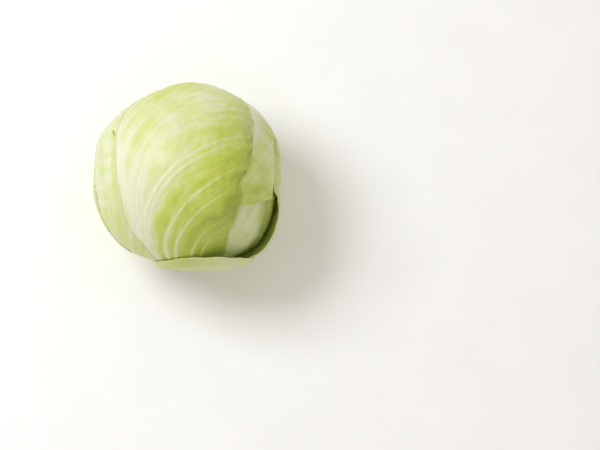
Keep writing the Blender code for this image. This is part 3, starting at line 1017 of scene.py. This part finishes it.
# %% Shaping the stem
places = points_of(stem)
height = places[:, 2].copy()
angle = np.arctan2(places[:, 1], places[:, 0])
spread = np.hypot(places[:, 0], places[:, 1]) / CORE_RADIUS
taper = np.array([core_radius(one) / CORE_RADIUS for one in height])
bulge = 1 + 0.035 * np.sin(5 * angle + 90 * height) * smooth_step(height, 0.05, 0.07)
places[:, :2] *= (taper * bulge * 0.985)[:, None]
cut = smooth_step(height, CORE_END - 0.0001, CORE_END)
places[:, 2] -= cut * (0.0006 * smooth_step(spread, 0.55, 1.0) + 0.0003 * (1 - np.clip(spread, 0, 1)))
places[:, 2] -= cut * 0.00012 * (1 + np.sin(3500 * places[:, 0] + 2.0))
move_points(stem, places @ turned.T + CENTRE)
store(stem, "ring", np.clip(spread, 0, 1))
store(stem, "cut", cut)
select_only(stem)
bpy.ops.object.shade_smooth_by_angle(angle=math.radians(45))

# %% [markdown]
# ## Knife-cut stem
#
# Fibrous tissue, cut and left to dry: to the eye it is matt, with cream pith, a ring of greener strands, a
# browned rim and brown clouds. The rings follow the number that was kept on the mesh, and noise makes
# them wander, so they don't look drawn with compasses.

# %% Cut stem material
STRAND_MM, DRIED_MM = 1.6, 9.0   # the strands, and the clouds where the face has dried brown


def cut_stem(name):
    material, tree, shader = new_material(name)
    spot = add_node(tree, "ShaderNodeTexCoord").outputs["Object"]
    ring, cut = (add_node(tree, "ShaderNodeAttribute", attribute_name=key).outputs["Fac"]
                 for key in ("ring", "cut"))
    strands = add_noise(tree, spot, STRAND_MM, 5.0, 0.7)
    wandering = add_sum(tree, strands, 0.10, ring)
    wandering = add_sum(tree, wandering, 1.0, -0.05)
    face = add_ramp(tree, wandering, ((0.0, "#EDE9CC"), (0.50, "#E6E3BF"), (0.62, "#C9CE95"),
                                      (0.72, "#E2DFB6"), (0.90, "#BFC67E"), (0.97, "#9A8B55")))
    rind = add_ramp(tree, strands, ((0.35, "#B9C27C"), (0.65, "#DADDAE")))
    colour = add_mix(tree, cut, rind, face)
    dried = add_range(tree, add_noise(tree, spot, DRIED_MM, 3.0), 0.45, 0.75, 0.0, 0.55)
    feed(shader, {"Base Color": add_mix(tree, dried, colour, "#C2A872"),
                  "Normal": add_bump(tree, strands, 0.6, 0.0004), "Roughness": 0.68})
    return material


stem.data.materials.append(cut_stem("knife-cut cabbage stem"))
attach(stem, "root")
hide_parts("stem_core")

# %% [markdown]
# ## Floor, light and camera
#
# The head lies on a plain white table under one large soft lamp at the upper left, with a bright room all
# round that fills the shadows with warm light. The camera looks down steeply through a long lens, so the
# head keeps its true outline.

# %% Floor
FLOOR_SIZE, FLOOR_CLOUD_MM = 6.0, 60.0

bpy.ops.object.select_all(action="DESELECT")
bpy.ops.mesh.primitive_plane_add(size=FLOOR_SIZE, location=(0, 0, cad_low.z))
floor = bpy.context.object
floor.name = "white table"
material, tree, shader = new_material("matt white table")
spot = add_node(tree, "ShaderNodeTexCoord").outputs["Object"]
grain = add_noise(tree, spot, FLOOR_CLOUD_MM)
feed(shader, {"Base Color": add_ramp(tree, grain, ((0.3, "#FBFAF9"), (0.7, "#FEFDFC"))), "Roughness": 0.8})
floor.data.materials.append(material)

# %% Light and world
LAMP_WAY = Vector((-0.66, 0.33, 1.00)).normalized()
LAMP_DISTANCE, LAMP_SIZE, LAMP_WATTS = 1.5, 0.8, 14.2   # metres, metres and watts
ROOM_STRENGTH = 0.63
LAMP_COLOUR, ROOM_LIGHT = "#F4F8FF", "#FFFAF4"

lamp_data = bpy.data.lights.new("large soft lamp", "AREA")
lamp_data.shape, lamp_data.size, lamp_data.energy = "DISK", LAMP_SIZE, LAMP_WATTS
lamp_data.color = linear(LAMP_COLOUR)[:3]
lamp = bpy.data.objects.new("large soft lamp", lamp_data)
bpy.context.scene.collection.objects.link(lamp)
lamp.location = Vector(CENTRE) + LAMP_WAY * LAMP_DISTANCE
lamp.rotation_euler = LAMP_WAY.to_track_quat("Z", "Y").to_euler()

world = bpy.data.worlds.new("bright room")
world.use_nodes = True
feed(world.node_tree.nodes["Background"], {"Color": linear(ROOM_LIGHT), "Strength": ROOM_STRENGTH})
bpy.context.scene.world = world
bpy.context.scene.view_settings.view_transform = "Standard"

# %% Camera
CAMERA_ELEVATION = 80.0
FRAME_WIDTH = 0.540         # what the frame takes in across the head's own depth, in metres
AIM_RIGHT, AIM_DOWN = 0.1008, 0.0432   # the head lies to the upper left of the frame's middle
LENS = 400.0                # mm, a lens long enough to keep the outline free of perspective

tilt = math.radians(90 - CAMERA_ELEVATION)
camera_data = bpy.data.cameras.new("camera")
camera_data.lens = LENS
camera = bpy.data.objects.new("camera", camera_data)
bpy.context.scene.collection.objects.link(camera)
aim = Vector(CENTRE) + Vector((AIM_RIGHT, -AIM_DOWN * math.cos(tilt), -AIM_DOWN * math.sin(tilt)))
distance = FRAME_WIDTH * LENS / camera_data.sensor_width
camera.location = aim + distance * Vector((0, -math.sin(tilt), math.cos(tilt)))
camera.rotation_euler = (tilt, 0, 0)
bpy.context.scene.camera = camera
print("camera", round(distance, 3), "m from the head")
